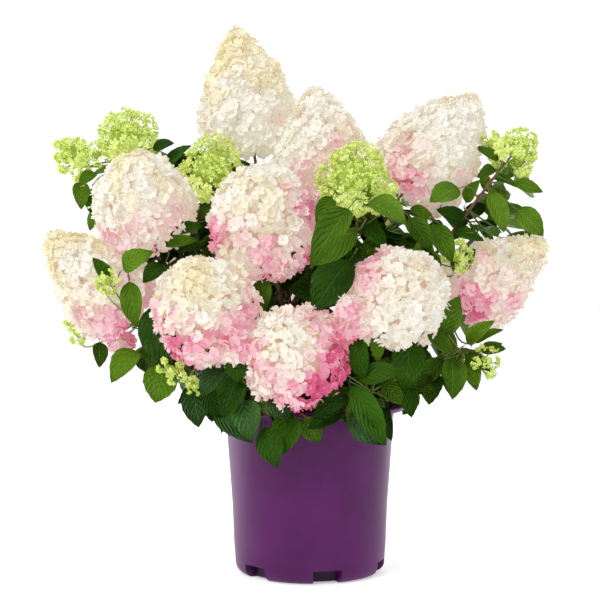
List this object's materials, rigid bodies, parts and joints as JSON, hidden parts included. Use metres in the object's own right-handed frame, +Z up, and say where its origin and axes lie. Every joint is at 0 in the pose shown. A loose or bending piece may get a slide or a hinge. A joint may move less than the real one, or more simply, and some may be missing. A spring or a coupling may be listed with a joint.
{
  "type": "potted panicle hydrangea",
  "caption": "Flowering shrub in a round nursery pot: a short trunk forks into boughs with whorled leaves, cone-shaped cream and pink flower heads and small green young heads.",
  "frame": {"origin": "centre of the pot's flat underside", "axes": "+Z up along the pot's axis, -Y towards the viewer of the plant's front, +X to that viewer's right"},
  "size_m": [0.7456, 0.5282, 0.829],
  "materials": {
    "pot_plastic": "satin purple moulded plastic",
    "potting_mix": "dark brown composted bark mix",
    "bark": "brown bark with a red tinge on young canes",
    "leaf": "mid green leaves with pale veins, and lime green young heads",
    "petals": "cream to rose pink petals"
  },
  "bodies": {
    "root": {"pot": "pot_plastic", "potting_mix": "potting_mix", "trunk": "bark", "bough_top": "bark", "bough_upper_mid": "bark", "bough_left_high": "bark", "bough_green_left": "bark", "bough_far_left": "bark", "bough_left_out": "bark", "bough_left_low": "bark", "bough_centre": "bark", "bough_front_low": "bark", "bough_right_mid": "bark", "bough_green_mid": "bark", "bough_right_high": "bark", "bough_far_right": "bark", "bough_right_out": "bark", "bough_back_left": "bark", "bough_back_mid": "bark", "bough_back_right": "bark", "bough_back_low": "bark", "foliage_top": "leaf", "foliage_upper_mid": "leaf", "foliage_left_high": "leaf", "foliage_green_left": "leaf", "foliage_far_left": "leaf", "foliage_left_out": "leaf", "foliage_left_low": "leaf", "foliage_centre": "leaf", "foliage_front_low": "leaf", "foliage_right_mid": "leaf", "foliage_green_mid": "leaf", "foliage_right_high": "leaf", "foliage_far_right": "leaf", "foliage_right_out": "leaf", "foliage_back_left": "leaf", "foliage_back_mid": "leaf", "foliage_back_right": "leaf", "foliage_back_low": "leaf", "foliage_low_left": "leaf", "foliage_low_front_left": "leaf", "foliage_low_front": "leaf", "foliage_low_front_right": "leaf", "foliage_low_right": "leaf", "foliage_low_back_right": "leaf", "foliage_low_back_left": "leaf", "head_top": "petals", "head_upper_mid": "petals", "head_left_high": "petals", "head_left_out": "petals", "head_left_low": "petals", "head_centre": "petals", "head_front_low": "petals", "head_right_mid": "petals", "head_right_high": "petals", "head_right_out": "petals", "head_back_left": "petals", "head_back_mid": "petals", "head_back_right": "petals", "head_back_low": "petals"}
  },
  "joints": []
}
